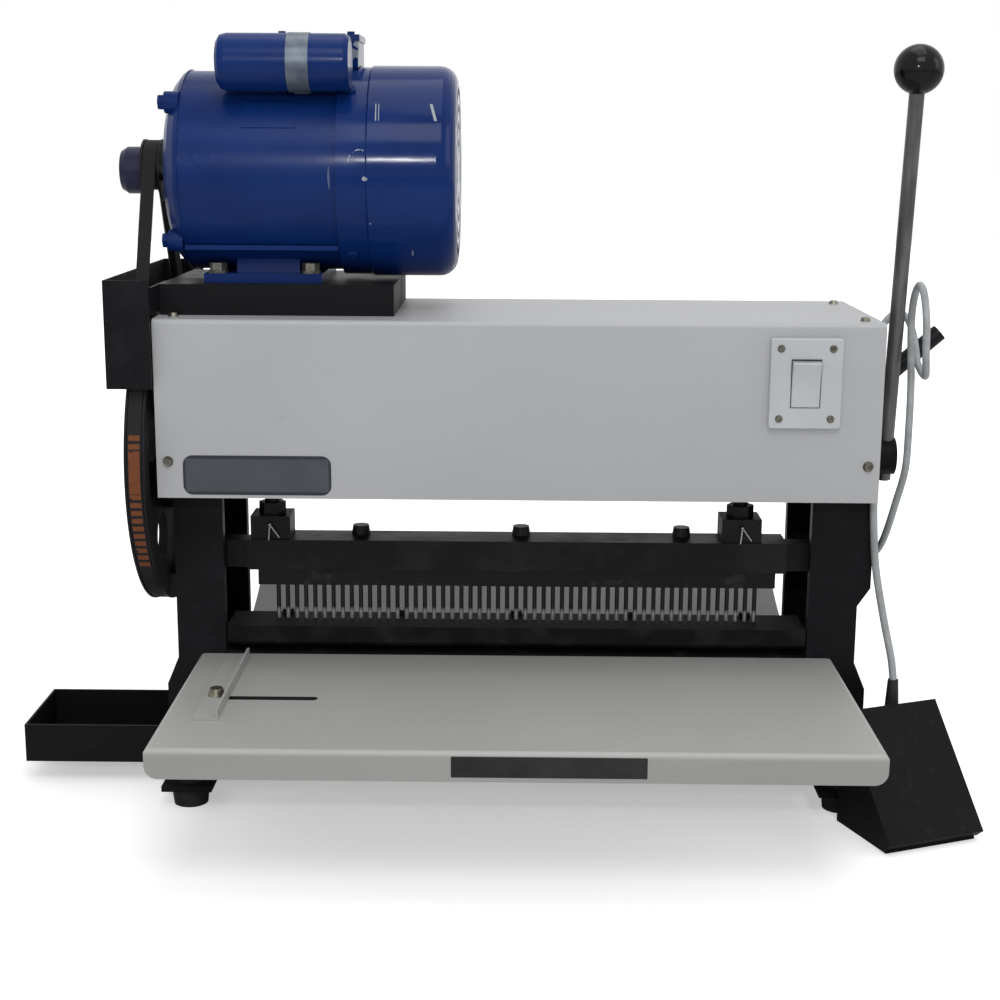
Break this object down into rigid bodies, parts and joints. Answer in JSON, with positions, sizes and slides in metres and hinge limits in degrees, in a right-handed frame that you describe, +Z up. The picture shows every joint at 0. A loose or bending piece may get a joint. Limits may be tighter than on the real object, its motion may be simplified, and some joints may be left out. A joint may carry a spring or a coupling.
{
  "type": "coil binding machine",
  "caption": "Motor-driven bench punch for coil binding: pin row over a die, paper table, belt drive, hand lever and foot switch.",
  "frame": {"origin": "middle of the four bench bolt holes, on the surface that the feet stand on", "axes": "+Z up, +X to the operator's right along the row of pins, +Y from the operator to the back"},
  "size_m": [0.6488, 0.3595, 0.514],
  "materials": {
    "black_paint": "satin black paint on steel",
    "dark_steel": "blackened tool steel",
    "white_paint": "light grey powder coat on sheet steel",
    "blue_enamel": "glossy blue enamel",
    "bright_steel": "ground steel",
    "zinc": "yellowed zinc plating",
    "chute_sheet": "plain sheet",
    "white_plastic": "white moulded plastic",
    "black_plastic": "polished black plastic",
    "grey_cable": "grey cable sheath",
    "black_moulding": "black moulding",
    "pedal_paint": "black paint",
    "cast_iron": "painted cast iron",
    "bronze": "bearing bronze",
    "black_rubber": "black rubber"
  },
  "bodies": {
    "frame": {"base_plate": "black_paint", "rubber_feet": "black_rubber", "left_side_frame": "black_paint", "right_side_frame": "black_paint", "motor_rails": "black_paint", "die_plate": "dark_steel", "paper_stop": "dark_steel", "pin_guide": "dark_steel", "die_bolts": "dark_steel", "table_brackets": "black_paint", "table": "white_paint", "left_beam_guide": "black_paint", "right_beam_guide": "black_paint", "left_bearing": "bright_steel", "right_bearing": "bright_steel", "top_cover": "white_paint", "cover_screws": "zinc", "switch_plate": "white_plastic", "switch_screws": "zinc", "waste_chute": "chute_sheet", "motor_base": "black_paint", "belt_guard": "black_paint", "motor_housing": "blue_enamel", "motor_end_bell": "blue_enamel", "fan_cowl": "blue_enamel", "motor_bolts": "zinc", "capacitor": "blue_enamel", "capacitor_band": "bright_steel", "terminal_box": "blue_enamel", "terminal_lid": "blue_enamel", "v_belt": "black_rubber", "cord_peg": "dark_steel", "cord_gland": "black_moulding", "foot_cord": "grey_cable", "cord_boot": "black_moulding", "foot_switch_base": "pedal_paint"},
    "crank": {"crank_shaft": "bright_steel", "lever_hub": "black_paint", "lever_rod": "bright_steel", "ball_knob": "black_plastic"},
    "beam": {"punch_beam": "black_paint", "pin_plate": "dark_steel", "punch_pins": "bright_steel", "beam_bolts": "dark_steel", "crank_yokes": "dark_steel", "yoke_studs": "dark_steel", "stud_nuts": "dark_steel", "split_pins": "bright_steel"},
    "flywheel": {"flywheel": "cast_iron", "flywheel_bush": "bronze", "clutch_bolts": "bright_steel"},
    "rotor": {"motor_shaft": "bright_steel", "motor_pulley": "cast_iron", "pulley_nut": "cast_iron", "cooling_fan": "black_moulding"},
    "rocker": {"rocker_switch": "white_plastic"},
    "gauge": {"side_gauge": "white_paint", "gauge_screw": "zinc"},
    "drawer": {"chip_drawer": "black_paint"},
    "treadle": {"foot_treadle": "pedal_paint"}
  },
  "joints": [
    {"name": "lever_swing", "type": "hinge", "parent": "frame", "child": "crank", "pos_m": [0, 0.026, 0.232], "axis": [1, 0, 0], "range_deg": [0, 70], "stiffness_Nm_per_rad": 3, "springref_deg": -34.38},
    {"name": "beam_stroke", "type": "slide", "parent": "frame", "child": "beam", "axis": [0, 0, -1], "range_m": [0, 0.01354]},
    {"name": "flywheel_spin", "type": "hinge", "parent": "frame", "child": "flywheel", "pos_m": [-0.245, 0.026, 0.232], "axis": [1, 0, 0], "continuous": true},
    {"name": "motor_spin", "type": "hinge", "parent": "frame", "child": "rotor", "pos_m": [-0.245, 0.022, 0.424], "axis": [1, 0, 0], "continuous": true},
    {"name": "rocker_tip", "type": "hinge", "parent": "frame", "child": "rocker", "pos_m": [0.183, -0.063, 0.295], "axis": [1, 0, 0], "range_deg": [-16, 0]},
    {"name": "gauge_slide", "type": "slide", "parent": "frame", "child": "gauge", "axis": [1, 0, 0], "range_m": [0, 0.056]},
    {"name": "drawer_slide", "type": "slide", "parent": "frame", "child": "drawer", "axis": [1, 0, 0], "range_m": [-0.15, 0.112]},
    {"name": "treadle_press", "type": "hinge", "parent": "frame", "child": "treadle", "pos_m": [0.26913, -0.10736, 0.008], "axis": [-0.9272, -0.3746, 0], "range_deg": [0, 6], "stiffness_Nm_per_rad": 4, "springref_deg": -5.73}
  ],
  "couplings": [
    {"joint": "beam_stroke", "follows": "lever_swing", "m_per_rad": 0.01108},
    {"joint": "motor_spin", "follows": "flywheel_spin", "ratio": 5.8529}
  ]
}
